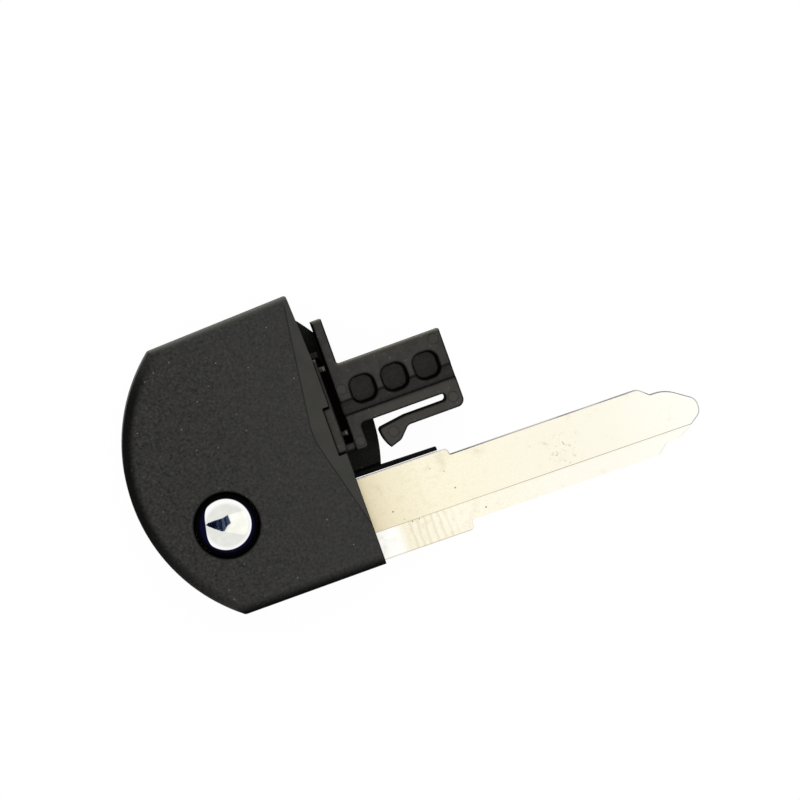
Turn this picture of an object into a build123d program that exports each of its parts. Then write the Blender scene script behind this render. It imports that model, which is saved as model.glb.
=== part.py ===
from build123d import *
import math
import os

os.makedirs("parts", exist_ok=True)

# Blade head of a flip key, in millimetres, lying on its back with the button up.
# Origin: the pivot axis of the blade, on the back face. +X runs along the mounting tongue,
# +Y across the head away from the folded blade, +Z towards the button.

# Driving sizes of the housing
rear_shell_height = 6.5
front_shell_height = 6.5
shell_wall = 1.4
side_arc_share = 0.6244
side_arc_middle_share = 0.4945
side_wall = 2.13
front_edge_cover = 0.44
head_width = 33.25
back_edge_slope = 2.2
plan_corner_radius = 0.6
rim_rounding = 1.1
seam_chamfer = 0.12

# Mouth of the housing, where the tongue frame and the folded blade come out
mouth_x = 15.96
lip_setback = 0.18
lip_end_setback = 0.54
lip_rebate_low_y = 3.1
lip_rebate_high_y = 14.85
bay_high_y = 15.3
sill_height = 2.6
sill_depth = 1.6
sill_step_y = 9.5
sill_step_cover = 0.1
mouth_arc_radius = 20.45
mouth_arc_x = 0.05
mouth_arc_y = 6.45
guide_post_length = 0.85
guide_post_gap = 0.13
guide_post_width = 0.58

# Shallow finger relief in the front face, falling towards the mouth
relief_apex_x = 12.7
relief_apex_y = 6.3
relief_fall = 12.0
relief_low_side_slope = 3.1
relief_high_side_slope = 1.6
relief_valley_radius = 45.0

# Window in the lip and the catch of the tongue frame that shows in it
window_length = 5.9
window_width = 0.8
catch_end_gap = 0.28
catch_side_gap = 0.06
catch_depth = 1.0

# Rail along the back edge of the folded blade
rail_length = 10.22
rail_width = 0.54
rail_tip_width = 0.38
rail_blade_gap = 0.1
rail_height = 3.7

# Key blade, drawn straight along X and then leant to its folded angle
blade_thickness = 2.2
blade_width = 8.15
blade_back_y = -0.83
root_back_y = -0.06
root_width = 10.05
root_length = 27.34
root_foot_x = 2.5
root_corner_radius = 0.5
root_inner_radius = 0.2
blade_length = 56.77
blade_edge_chamfer = 0.1
tip_length = 6.21
tip_neck_length = 4.95
tip_neck_width = 6.0
tip_straight_length = 3.17
tip_nose_width = 1.7
tip_shoulder_radius = 1.2
tip_notch_radius = 0.3
tip_side_radius = 4.1
tip_nose_radius = 1.3
strip_width = 2.24
strip_depth = 0.45
strip_run_out_x = 19.44
cutter_radius = 30.0
fold_lean = 0.8
blade_slot_gap = 0.3
blade_stop_gap = 0.3
folded_stop_gap = 0.06

# Tang of the blade and the pin that holds it in the drum
tang_width = 2.1
tang_overrun = 2.6
tang_fit = 0.03
pin_radius = 0.75
pin_wall = 0.28
pin_split = 0.35
pin_x = 0.2
pin_fit = 0.02
pin_end_cover = 0.45

# Drum that turns on the two shells
drum_radius = 7.2
drum_gap = 0.2
drum_edge_chamfer = 0.35
running_gap = 0.05
axial_gap = 0.15
journal_radius = 3.6
bearing_height = 1.4
bearing_wall = 1.5
collar_setback = 0.25
drum_floor = 0.85

# Release button and its spring
button_radius = 3.66
button_hole_radius = 3.79
button_hole_chamfer = 0.08
button_guide_gap = 0.07
button_wall = 0.6
button_rim_radius = 1.1
button_proud = 0.9
button_crown = 0.2
button_travel = 1.6
boss_outer_radius = 5.6
dog_reach = 0.65
dog_width = 2.2
dog_height = 2.4
dog_gap = 0.15
spring_wire_radius = 0.3
spring_radius = 2.5
spring_turns = 5
spring_wire_sides = 8
spring_seat_gap = 0.02

# Tongue frame
frame_height = 7.0
bar_gap = 1.28
bar_width = 1.22
bar_low_extra = 0.27
bar_low_y = 2.88
bar_high_y = 18.78
frame_wall = 0.35
frame_wall_low_y = 4.2
frame_wall_high_y = 14.6
frame_wall_drop = 0.9
frame_wall_fit = 0.05
neck_height = 2.6
neck_margin = 0.4
anchor_length = 4.6
anchor_height = 1.6
rib_width = 0.6
rib_centres_y = (5.3, 13.2)
rib_end_gap = 0.25
rib_drop = 0.9
foot_tab_width = 0.82
foot_tab_gap = 0.08
foot_tab_drop = 0.25
tongue_end_x = 31.03
tongue_low_y = 5.78
tongue_high_y = 13.12
tongue_underside = 1.0
tongue_corner_radius = 0.9
inner_corner_radius = 0.45
frame_edge_chamfer = 0.12

# Snap arm on the tongue
arm_slot_width = 0.85
arm_slot_end_x = 28.7
arm_thickness = 1.22
arm_straight_end_x = 23.9
hook_tip_x = 21.2
hook_tip_y = 1.93
hook_end_x = 20.54
hook_top_y = 4.5
hook_heel_x = 22.6
hook_heel_y = 2.38
hook_corner = 0.25
hook_bow = 0.2
hook_lean = 1.0
hook_rounding = 0.8

# Channel, core-outs and ejector marks in the tongue's top
channel_low_y = 7.16
channel_width = 1.7
channel_depth = 0.9
core_count = 3
core_pitch = 3.93
core_first_x = 20.4
core_y = 9.53
core_length = 3.15
core_height = 3.3
core_corner_radius = 1.2
core_depth = 4.4
ejector_radius = 0.62
ejector_depth = 0.08
ejector_places = ((17.96, 10.25), (30.05, 12.2), (29.95, 5.05), (22.05, 3.55), (18.0, 3.85))

# Pegs that join the two shells, and the pair that holds the frame
peg_radius = 0.9
peg_height = 2.2
peg_gap = 0.05
socket_extra_depth = 0.4
post_wall = 0.75
side_post_chip_gap = 0.57
back_post_gap = 0.5
back_post_chip_gap = 0.25
wall_peg_place = (12.5, 1.75)
anchor_peg_radius = 0.8
anchor_peg_places_y = (7.2, 11.6)

# Transponder chip
chip_length = 12.0
chip_side_gap = 0.33
chip_end_gap = 0.93
chip_height = 3.0
chip_taper = 2.0
chip_rib_thickness = 0.8
chip_rib_height = 2.0
chip_rib_length = 3.0
chip_gap = 0.1

# How far a cut runs past the face that it opens, and how near a picked edge or corner has to be
joint_overlap = 0.01
pick_reach = 0.01

# Heights that follow from the sizes above
parting_z = rear_shell_height
head_top_z = rear_shell_height + front_shell_height
floor_z = shell_wall
roof_z = head_top_z - shell_wall
blade_low_z = parting_z - blade_thickness / 2
blade_high_z = parting_z + blade_thickness / 2
slot_low_z = blade_low_z - blade_slot_gap
slot_high_z = blade_high_z + blade_slot_gap
drum_low_z = floor_z + bearing_height + axial_gap
drum_high_z = roof_z - bearing_height - axial_gap
journal_low_z = floor_z + axial_gap
spring_seat_z = journal_low_z + drum_floor
dog_high_z = roof_z - running_gap
dog_low_z = dog_high_z - dog_height
dog_pocket_z = dog_low_z - button_travel - dog_gap
frame_low_z = sill_height
frame_top_z = frame_low_z + frame_height
rib_top_z = frame_top_z - rib_drop
catch_top_z = head_top_z - frame_wall_drop

# Places in plan that follow from the sizes above
cavity_radius = drum_radius + drum_gap
left_edge_x = -(cavity_radius + side_wall)
side_arc_radius = side_arc_share * head_width
side_arc_x = left_edge_x + side_arc_radius
root_front_y = root_back_y - root_width
front_edge_y = root_front_y - front_edge_cover
back_edge_y = front_edge_y + head_width
side_arc_y = front_edge_y + side_arc_middle_share * head_width
lip_x = mouth_x - lip_setback
lip_end_x = mouth_x - lip_end_setback
out_stop_y = -root_front_y + blade_stop_gap
folded_stop_y = root_back_y + folded_stop_gap
rail_blade_y = root_back_y + rail_blade_gap
dog_radius = button_radius + dog_reach
tang_centre_y = -(dog_radius + dog_gap + drum_radius) / 2
bar_x = mouth_x + bar_gap
bar_end_x = bar_x + bar_width
bar_foot_end_x = bar_end_x + bar_low_extra
frame_wall_x = lip_x + frame_wall_fit
anchor_x = mouth_x - anchor_length + 2 * anchor_peg_radius
bore_radius = button_radius - button_wall + dog_gap
guide_post_low_y = frame_wall_high_y + guide_post_gap
rail_end_x = mouth_x + rail_length
sill_low_y = rail_blade_y - rail_end_x * math.tan(math.radians(fold_lean))
post_radius = peg_radius + post_wall

# The transponder fills the bay between the blade's stop wall, the back wall and the round side
bay_low_y = out_stop_y + shell_wall
back_edge_drop = math.tan(math.radians(back_edge_slope))
bay_back_y = back_edge_y - back_edge_drop * mouth_x - shell_wall
chip_width = bay_back_y - bay_low_y - 2 * (chip_side_gap + chip_rib_thickness + chip_gap)
chip_y = (bay_low_y + bay_back_y) / 2
bay_arc_radius = side_arc_radius - shell_wall
chip_corner_y = chip_y + chip_width / 2 - side_arc_y
chip_low_x = side_arc_x - math.sqrt(bay_arc_radius ** 2 - chip_corner_y ** 2) + chip_end_gap
chip_high_x = chip_low_x + chip_length
chip_x = (chip_low_x + chip_high_x) / 2
side_post_x = chip_low_x - side_post_chip_gap - post_radius
back_post_x = chip_high_x + post_radius + back_post_chip_gap
back_post_y = back_edge_y - shell_wall - post_radius - back_post_gap
post_places = ((side_post_x, chip_y), (back_post_x, back_post_y))
relief_reach = head_width
far = 4 * head_width


def block(x0, x1, y0, y1, z0, z1):
    """A box between two corners."""
    return Pos((x0 + x1) / 2, (y0 + y1) / 2, (z0 + z1) / 2) * Box(x1 - x0, y1 - y0, z1 - z0)


def disc(radius, z0, z1, x=0.0, y=0.0):
    """A round bar along Z."""
    return Pos(x, y, (z0 + z1) / 2) * Cylinder(radius, z1 - z0)


def ring(outer, inner, z0, z1):
    """A round sleeve along Z on the pivot axis."""
    return disc(outer, z0, z1) - disc(inner, z0, z1)


def area(points):
    """A flat face from its corner points."""
    return make_face(Polyline(*points, close=True))


def rect(x0, x1, y0, y1):
    """A flat rectangle between two corners."""
    return Pos((x0 + x1) / 2, (y0 + y1) / 2) * Rectangle(x1 - x0, y1 - y0)


def prism(face, z0, z1):
    """A flat face in plan carried from one height to another."""
    return extrude(Pos(0, 0, z0) * face, amount=z1 - z0)


def round_corners(face, places, radius):
    """The same face with the corners at some places rounded."""
    corners = [v for place in places for v in face.vertices() if math.dist((v.X, v.Y), place) < pick_reach]
    return fillet(corners, radius)


def edges_at(body, z):
    """The edges that lie at one height."""
    return [e for e in body.edges() if abs(e.center().Z - z) < pick_reach]


def back_edge_at(x):
    """The sloped back edge's Y at one X."""
    return back_edge_y - back_edge_drop * (mouth_x - x)


def head_plan():
    """The housing seen from above: a round side, two long edges and the stepped mouth."""
    clip = area([(-far, front_edge_y), (mouth_x, front_edge_y), (mouth_x, lip_rebate_low_y),
                 (lip_x, lip_rebate_low_y), (lip_x, lip_rebate_high_y), (lip_end_x, back_edge_at(lip_end_x)),
                 (-far, back_edge_at(-far))])
    plan = clip & Pos(side_arc_x, side_arc_y) * Circle(side_arc_radius)
    corners = [v for v in plan.vertices() if v.X < 0]
    return fillet(corners, plan_corner_radius)


def shell_block(z0, z1, rounded_z):
    """A housing half as a solid, with its outer rim rounded and a fine chamfer at the seam."""
    body = prism(head_plan(), z0, z1)
    rim = [e for e in edges_at(body, rounded_z) if e.center().X < lip_end_x - shell_wall / 2]
    body = fillet(rim, rim_rounding)
    seam = [e for e in edges_at(body, parting_z) if e.center().X < lip_end_x - shell_wall / 2]
    return chamfer(seam, seam_chamfer)


def bay_plan():
    """The hollow beside the drum, which holds the transponder and the root of the tongue frame."""
    inside = offset(head_plan(), amount=-shell_wall, kind=Kind.INTERSECTION)
    chip_bay = inside & rect(-far, lip_end_x - shell_wall, bay_low_y, far)
    frame_bay = rect(drum_radius, far, lip_rebate_low_y, bay_high_y)
    drum_wall = Circle(cavity_radius + side_wall)
    return chip_bay + frame_bay - drum_wall


def sweep_plan():
    """Everything in plan that the blade needs on its way round."""
    out_side = rect(-far, 0, -far, out_stop_y)
    folded_side = rect(0, far, -far, folded_stop_y)
    return out_side + folded_side + Circle(cavity_radius)


def relief_cutter():
    """The finger relief: a wide flat vee whose valley falls towards the mouth."""
    low_rise = relief_reach * math.tan(math.radians(relief_low_side_slope))
    high_rise = relief_reach * math.tan(math.radians(relief_high_side_slope))
    top = low_rise + high_rise
    vee = area([(0, 0), (relief_reach, high_rise), (relief_reach, top), (-relief_reach, top),
                (-relief_reach, low_rise)])
    vee = round_corners(vee, [(0, 0)], relief_valley_radius)
    fall = math.radians(relief_fall)
    along = Plane(origin=(relief_apex_x, relief_apex_y, head_top_z), x_dir=(0, 1, 0),
                  z_dir=(math.cos(fall), 0, -math.sin(fall)))
    return extrude(along * vee, amount=relief_reach / 2)


def front_shell():
    """Upper housing half with the button hole, relief, window and inner bosses."""
    body = shell_block(parting_z, head_top_z, head_top_z)
    body -= relief_cutter()
    body -= disc(cavity_radius, parting_z, roof_z)
    body -= prism(bay_plan(), parting_z, roof_z)
    body -= prism(sweep_plan(), parting_z, slot_high_z)
    guide_radius = button_radius + button_guide_gap
    boss = ring(boss_outer_radius, guide_radius, roof_z - bearing_height, roof_z)
    for turn in (90, 270):
        keyway = block(0, dog_radius + dog_gap, -dog_width / 2 - dog_gap, dog_width / 2 + dog_gap,
                       roof_z - bearing_height, roof_z)
        boss -= Rot(0, 0, turn) * keyway
    body += boss
    for x, y in post_places:
        body += disc(post_radius, parting_z, roof_z, x, y)
    for x, y in (*post_places, wall_peg_place):
        body -= disc(peg_radius + peg_gap, parting_z, parting_z + peg_height + socket_extra_depth, x, y)
    body -= disc(button_hole_radius, roof_z - joint_overlap, head_top_z)
    hole_edge = [e for e in edges_at(body, head_top_z)
                 if e.geom_type == GeomType.CIRCLE and abs(e.radius - button_hole_radius) < pick_reach]
    body = chamfer(hole_edge, button_hole_chamfer)
    window = block(lip_x - window_width, mouth_x, lip_rebate_low_y, lip_rebate_low_y + window_length,
                   roof_z - joint_overlap, head_top_z)
    return body - window


def sill_plan():
    """Plan of the sill that stands out of the mouth: a round edge, cut back under the cross-bar."""
    sill = rect(lip_end_x - sill_depth, far, sill_low_y, back_edge_at(lip_end_x) - shell_wall)
    sill &= Pos(mouth_arc_x, mouth_arc_y) * Circle(mouth_arc_radius)
    return sill - rect(bar_end_x - sill_step_cover, far, sill_step_y, far)


def blade_rail():
    """The thin rail on the sill, which runs beside the folded blade's back edge."""
    start_x = mouth_x - shell_wall
    plan = area([(start_x, rail_blade_y), (rail_end_x, rail_blade_y),
                 (rail_end_x, rail_blade_y + rail_tip_width), (start_x, rail_blade_y + rail_width)])
    return Rot(0, 0, -fold_lean) * prism(plan, sill_height, sill_height + rail_height)


def rear_shell():
    """Lower housing half with the sill, the rail, the drum's bearing and the pegs."""
    body = shell_block(0, parting_z, 0)
    body -= disc(cavity_radius, floor_z, parting_z)
    body -= prism(bay_plan(), floor_z, parting_z)
    body -= prism(sweep_plan(), slot_low_z, parting_z)
    body += prism(sill_plan(), 0, sill_height)
    body += blade_rail()
    body += block(frame_wall_x, frame_wall_x + guide_post_length,
                  guide_post_low_y, guide_post_low_y + guide_post_width, sill_height, rib_top_z)
    body += ring(journal_radius + running_gap + bearing_wall, journal_radius + running_gap,
                 floor_z, floor_z + bearing_height)
    for x, y in post_places:
        body += disc(post_radius, floor_z, parting_z, x, y)
    for x, y in (*post_places, wall_peg_place):
        body += disc(peg_radius, parting_z, parting_z + peg_height, x, y)
    for y in anchor_peg_places_y:
        body += disc(2 * anchor_peg_radius, floor_z, frame_low_z, anchor_x, y)
        body += disc(anchor_peg_radius, frame_low_z, frame_low_z + anchor_height + peg_gap, anchor_x, y)
    return body + chip_ribs()


def chip_ribs():
    """Four short ribs that keep the transponder in its place."""
    ribs = []
    side_y = chip_width / 2 + chip_gap
    end_x = chip_length / 2 + chip_gap
    for side in (-1, 1):
        y0, y1 = sorted((chip_y + side * side_y, chip_y + side * (side_y + chip_rib_thickness)))
        x0, x1 = sorted((chip_x + side * end_x, chip_x + side * (end_x + chip_rib_thickness)))
        long_rib = block(chip_x - chip_rib_length, chip_x + chip_rib_length, y0, y1,
                         floor_z, floor_z + chip_rib_height)
        end_rib = block(x0, x1, chip_y - chip_rib_length / 2, chip_y + chip_rib_length / 2,
                        floor_z, floor_z + chip_rib_height)
        ribs += [long_rib, end_rib]
    return ribs


def tongue_plan():
    """Cross-bar, tongue and snap arm seen from above."""
    bar = rect(bar_x, bar_end_x, bar_low_y, bar_high_y)
    bar_foot = rect(bar_x, bar_foot_end_x, bar_low_y, tongue_low_y + arm_slot_width)
    tongue = rect(bar_x, tongue_end_x, tongue_low_y, tongue_high_y)
    arm_top_y = tongue_low_y - arm_slot_width
    arm_low_y = arm_top_y - arm_thickness
    arm_root = rect(arm_straight_end_x, tongue_end_x, arm_low_y, arm_top_y)
    arm_root += rect(arm_slot_end_x, tongue_end_x, arm_low_y, tongue_low_y)
    hook = make_face([
        Polyline((arm_straight_end_x, arm_low_y), (arm_straight_end_x, arm_top_y),
                 (hook_end_x + hook_corner, hook_top_y), (hook_end_x, hook_top_y - hook_corner)),
        ThreePointArc((hook_end_x, hook_top_y - hook_corner), (hook_end_x + hook_bow, hook_tip_y + hook_lean),
                      (hook_tip_x, hook_tip_y)),
        Polyline((hook_tip_x, hook_tip_y), (hook_heel_x, hook_heel_y), (arm_straight_end_x, arm_low_y)),
    ])
    slot_end = Pos(arm_slot_end_x, tongue_low_y - arm_slot_width / 2) * Circle(arm_slot_width / 2)
    slot = rect(arm_straight_end_x, arm_slot_end_x, arm_top_y, tongue_low_y)
    plan = bar + bar_foot + tongue + arm_root + hook - slot - slot_end
    plan = round_corners(plan, [(tongue_end_x, arm_low_y)], tongue_corner_radius)
    plan = round_corners(plan, [(hook_heel_x, hook_heel_y), (arm_straight_end_x, arm_low_y)], hook_rounding)
    inner = [(bar_end_x, tongue_high_y), (bar_foot_end_x, tongue_low_y), (bar_foot_end_x, bar_low_y)]
    return round_corners(plan, inner, inner_corner_radius)


def tongue_frame():
    """The black inner moulding: wall and neck in the mouth, cross-bar, tongue and snap arm."""
    body = prism(tongue_plan(), frame_low_z, frame_top_z)
    body -= block(bar_foot_end_x, far, -far, far, 0, frame_low_z + tongue_underside)
    body = chamfer(edges_at(body, frame_top_z), frame_edge_chamfer)
    body -= block(0, far, channel_low_y, channel_low_y + channel_width, frame_top_z - channel_depth, far)
    for i in range(core_count):
        core = RectangleRounded(core_length, core_height, core_corner_radius)
        body -= prism(Pos(core_first_x + i * core_pitch, core_y) * core, frame_top_z - core_depth, head_top_z)
    for x, y in ejector_places:
        body -= disc(ejector_radius, frame_top_z - ejector_depth, head_top_z, x, y)
    body += block(frame_wall_x, frame_wall_x + frame_wall, frame_wall_low_y, frame_wall_high_y,
                  frame_low_z, catch_top_z)
    neck_low_y = frame_wall_low_y + neck_margin
    neck_high_y = frame_wall_high_y - neck_margin
    anchor_top_z = frame_low_z + anchor_height
    neck_top_z = frame_low_z + neck_height
    body += block(mouth_x - anchor_length, bar_x, neck_low_y, neck_high_y, frame_low_z, anchor_top_z)
    body += block(frame_wall_x - frame_wall, bar_x, neck_low_y, neck_high_y, frame_low_z, neck_top_z)
    for y in rib_centres_y:
        body += block(frame_wall_x, bar_x - rib_end_gap, y - rib_width / 2, y + rib_width / 2,
                      frame_low_z, rib_top_z)
    tab_y = lip_rebate_low_y + foot_tab_gap
    body += block(frame_wall_x, bar_x, tab_y, tab_y + foot_tab_width,
                  frame_low_z, frame_top_z - foot_tab_drop)
    body += catch_block()
    for y in anchor_peg_places_y:
        body -= disc(anchor_peg_radius + peg_gap, frame_low_z - joint_overlap, neck_top_z, anchor_x, y)
    return body


def catch_block():
    """The catch that stands in the lip's window, carried by the frame's wall."""
    low_y = lip_rebate_low_y + catch_end_gap
    high_y = lip_rebate_low_y + window_length - catch_end_gap
    low_z = catch_top_z - catch_depth
    head = block(lip_x - window_width + catch_side_gap, frame_wall_x, low_y, high_y, low_z, catch_top_z)
    stub = block(frame_wall_x, frame_wall_x + frame_wall, low_y, frame_wall_low_y, low_z, catch_top_z)
    return head + stub


def shank_plan():
    """The blade's outline outside the drum: wide root, shoulders and the stepped, rounded tip."""
    middle_y = blade_back_y - blade_width / 2
    half_width = blade_width / 2
    tip_x = blade_length - tip_length
    notch_x = blade_length - tip_neck_length
    nose_start_x = blade_length - tip_straight_length
    outline = [(root_foot_x, half_width), (tip_x, half_width), (notch_x, tip_neck_width / 2),
               (nose_start_x, tip_neck_width / 2), (blade_length, tip_nose_width / 2)]
    upper = [(x, middle_y + h) for x, h in outline]
    lower = [(x, middle_y - h) for x, h in reversed(outline)]
    plan = area(upper + lower) + rect(root_foot_x, root_length, root_front_y, root_back_y)
    plan = round_corners(plan, [(root_length, root_back_y), (root_length, root_front_y)], root_corner_radius)
    radii = (tip_shoulder_radius, tip_notch_radius, tip_side_radius, tip_nose_radius)
    for (x, h), radius in zip(outline[1:], radii):
        plan = round_corners(plan, [(x, middle_y + h), (x, middle_y - h)], radius)
    step = [(root_length, middle_y + half_width), (root_length, middle_y - half_width)]
    plan = round_corners(plan, step, root_inner_radius)
    return plan - Circle(cavity_radius)


def tang_plan(gap):
    """The tang's outline, grown by a gap for its slot; its end stays within the drum."""
    low_y = tang_centre_y - tang_width / 2 - gap
    high_y = tang_centre_y + tang_width / 2 + gap
    end = rect(-tang_overrun - gap, 0, low_y, high_y) & Circle(drum_radius + gap)
    return end + (rect(0, root_length / 2, low_y, high_y) & Circle(cavity_radius + shell_wall))


def milled_strip():
    """What the cutter takes off one face beside the edge, with its round run-out near the mouth."""
    low_y = blade_back_y - blade_width - root_width
    high_y = blade_back_y - blade_width + strip_width
    cut_z = blade_high_z - strip_depth
    straight = block(strip_run_out_x, far, low_y, high_y, cut_z, cut_z + cutter_radius)
    cutter = Rot(90, 0, 0) * Cylinder(cutter_radius, high_y - low_y)
    return straight + Pos(strip_run_out_x, (low_y + high_y) / 2, cut_z + cutter_radius) * cutter


def key_blade():
    """The blade with its edges broken, a milled strip along each face and the hole for its pin."""
    body = prism(shank_plan(), blade_low_z, blade_high_z)
    body = chamfer(edges_at(body, blade_low_z) + edges_at(body, blade_high_z), blade_edge_chamfer)
    body += prism(tang_plan(0), blade_low_z, blade_high_z)
    turned_over = Pos(0, 2 * blade_back_y - blade_width, 2 * parting_z) * Rot(180, 0, 0)
    body -= milled_strip()
    body -= turned_over * milled_strip()
    body -= disc(pin_radius + pin_fit, blade_low_z, blade_high_z, pin_x, tang_centre_y)
    return Rot(0, 0, -fold_lean) * body


def blade_hub():
    """The cast drum with its journal, collar, spring bore and tang slot."""
    body = disc(drum_radius, drum_low_z, drum_high_z)
    body = chamfer(body.edges().filter_by(GeomType.CIRCLE), drum_edge_chamfer)
    body += disc(journal_radius, journal_low_z, drum_low_z)
    collar_inner = boss_outer_radius + running_gap
    body += ring(drum_radius - collar_setback, collar_inner, drum_high_z, roof_z - axial_gap)
    body -= disc(bore_radius, spring_seat_z, drum_high_z)
    body -= disc(dog_radius + dog_gap, dog_pocket_z, drum_high_z)
    body -= prism(tang_plan(tang_fit), blade_low_z - tang_fit, blade_high_z + tang_fit)
    body -= disc(pin_radius + pin_fit, drum_low_z - joint_overlap, drum_high_z - pin_end_cover,
                 pin_x, tang_centre_y)
    return Rot(0, 0, -fold_lean) * body


def blade_roll_pin():
    """The rolled spring pin, a tube with a slit along it."""
    low_z = drum_low_z + pin_end_cover
    high_z = drum_high_z - 2 * pin_end_cover
    body = disc(pin_radius, low_z, high_z, pin_x, tang_centre_y)
    body -= disc(pin_radius - pin_wall, low_z, high_z, pin_x, tang_centre_y)
    body -= block(pin_x, pin_x + 2 * pin_radius, tang_centre_y - pin_split / 2, tang_centre_y + pin_split / 2,
                  low_z, high_z)
    return Rot(0, 0, -fold_lean) * body


def release_button():
    """The plated button: crowned cap, hollow shank and two locking dogs."""
    top_z = head_top_z + button_proud
    rim_z = top_z - button_crown
    flat_r = button_radius - button_rim_radius
    corner_z = rim_z - button_rim_radius
    bend = button_rim_radius * math.sqrt(0.5)
    inner_r = button_radius - button_wall
    crown_radius = (flat_r ** 2 + button_crown ** 2) / (2 * button_crown)
    crown_mid_z = top_z - crown_radius + math.sqrt(crown_radius ** 2 - (flat_r / 2) ** 2)
    profile = make_face([
        Polyline((0, top_z), (0, roof_z), (inner_r, roof_z), (inner_r, dog_low_z), (button_radius, dog_low_z),
                 (button_radius, corner_z)),
        ThreePointArc((button_radius, corner_z), (flat_r + bend, corner_z + bend), (flat_r, rim_z)),
        ThreePointArc((flat_r, rim_z), (flat_r / 2, crown_mid_z), (0, top_z)),
    ])
    body = revolve(Plane.XZ * profile, axis=Axis.Z)
    for turn in (90, 270):
        dog = block(inner_r + button_wall / 2, dog_radius, -dog_width / 2, dog_width / 2,
                    dog_low_z, dog_high_z)
        body += Rot(0, 0, turn) * dog
    return body


def flip_spring():
    """The coil spring between the drum's bore and the button."""
    low_z = spring_seat_z + spring_wire_radius + spring_seat_gap
    high_z = roof_z - spring_wire_radius - spring_seat_gap
    rise = high_z - low_z
    path = Helix(pitch=rise / spring_turns, height=rise, radius=spring_radius)
    section = Plane(origin=path @ 0, z_dir=path % 0) * RegularPolygon(spring_wire_radius, spring_wire_sides)
    return Pos(0, 0, low_z) * sweep(section, path=path)


def transponder_chip():
    """The wedge transponder: a small brick that thins towards one end."""
    side = area([(chip_low_x, 0), (chip_high_x, 0), (chip_high_x, chip_height),
                 (chip_low_x + chip_taper, chip_height), (chip_low_x, chip_height / 2)])
    body = extrude(Plane.XZ * side, amount=chip_width / 2, both=True)
    return Pos(0, chip_y, floor_z) * body


makers = {
    "front_shell": front_shell,
    "rear_shell": rear_shell,
    "tongue_frame": tongue_frame,
    "key_blade": key_blade,
    "blade_hub": blade_hub,
    "blade_roll_pin": blade_roll_pin,
    "release_button": release_button,
    "flip_spring": flip_spring,
    "transponder_chip": transponder_chip,
}

for name, maker in makers.items():
    export_step(maker(), f"parts/{name}.step")
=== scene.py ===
import math

import bmesh
import bpy
from mathutils import Matrix, Vector


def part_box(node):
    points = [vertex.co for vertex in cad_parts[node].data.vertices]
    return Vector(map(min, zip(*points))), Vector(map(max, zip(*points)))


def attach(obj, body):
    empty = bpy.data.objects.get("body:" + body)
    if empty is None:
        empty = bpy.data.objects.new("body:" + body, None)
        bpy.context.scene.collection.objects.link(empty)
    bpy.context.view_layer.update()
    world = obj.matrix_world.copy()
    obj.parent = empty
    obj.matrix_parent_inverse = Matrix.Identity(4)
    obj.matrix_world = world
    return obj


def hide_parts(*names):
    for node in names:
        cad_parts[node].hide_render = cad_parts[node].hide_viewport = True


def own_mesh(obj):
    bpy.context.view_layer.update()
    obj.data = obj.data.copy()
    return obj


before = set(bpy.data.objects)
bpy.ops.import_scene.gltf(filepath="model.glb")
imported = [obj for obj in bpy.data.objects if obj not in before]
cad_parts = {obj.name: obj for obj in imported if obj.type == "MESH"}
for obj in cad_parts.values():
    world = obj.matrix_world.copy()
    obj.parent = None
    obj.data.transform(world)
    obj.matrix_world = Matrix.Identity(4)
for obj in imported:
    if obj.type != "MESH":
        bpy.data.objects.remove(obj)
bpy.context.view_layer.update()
mm = 0.001
scene = bpy.context.scene
print("frame loaded:", len(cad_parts), "nodes")


class Wire:
    # one socket of a node tree; + - * / on it add the Math nodes

    def __init__(self, tree, socket=None):
        self.tree = tree
        self.socket = socket

    def node(self, kind, settings, sockets, output=0):
        # settings first (a ramp's stops are pairs of place and colour), then what its sockets get
        made = self.tree.nodes.new(kind)
        for name, value in settings.items():
            if name != "stops":
                setattr(made, name, value)
                continue
            ramp = made.color_ramp.elements
            while len(ramp) < len(value):
                ramp.new(0.5)
            for stop, (place, shade) in zip(ramp, value):
                stop.position = place
                stop.color = shade
        for name, value in sockets.items():
            if isinstance(value, Wire):
                self.tree.links.new(value.socket, made.inputs[name])
            else:
                made.inputs[name].default_value = value
        return Wire(self.tree, made.outputs[output] if made.outputs else None)

    def calc(self, operation, *values):
        return self.node("ShaderNodeMath", {"operation": operation}, dict(enumerate(values)))

    def __add__(self, other):
        return self.calc("ADD", self, other)

    def __sub__(self, other):
        return self.calc("SUBTRACT", self, other)

    def __mul__(self, other):
        return self.calc("MULTIPLY", self, other)

    def __truediv__(self, other):
        return self.calc("DIVIDE", self, other)

    def __rsub__(self, other):
        return self.calc("SUBTRACT", other, self)

    __radd__ = __add__

    def sine(self):
        return self.calc("SINE", self)

    def root(self):
        return self.calc("SQRT", self)

    def most(self, other):
        return self.calc("MAXIMUM", self, other)

    def least(self, other):
        return self.calc("MINIMUM", self, other)

    def rise(self, low, high):
        # 0 below low, 1 above high and a smooth slope between; with high under low it falls instead
        return self.node("ShaderNodeMapRange", {"interpolation_type": "SMOOTHSTEP"},
                         {"Value": self, "From Min": low, "From Max": high})

    def band(self, low, high, soft):
        # 1 between low and high, 0 outside
        return self.rise(low - soft, low) * self.rise(high + soft, high)

    def blend(self, first, second):
        # this value as the share of the second colour
        return self.node("ShaderNodeMix", {"data_type": "RGBA"}, {0: self, 6: first, 7: second}, 2)


def rgba(red, green, blue):
    # a screen colour of 0 to 255 in the linear values that a shader takes
    screen = [c / 255 for c in (red, green, blue)]
    return (*(c / 12.92 if c < 0.04045 else ((c + 0.055) / 1.055) ** 2.4 for c in screen), 1)


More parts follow.
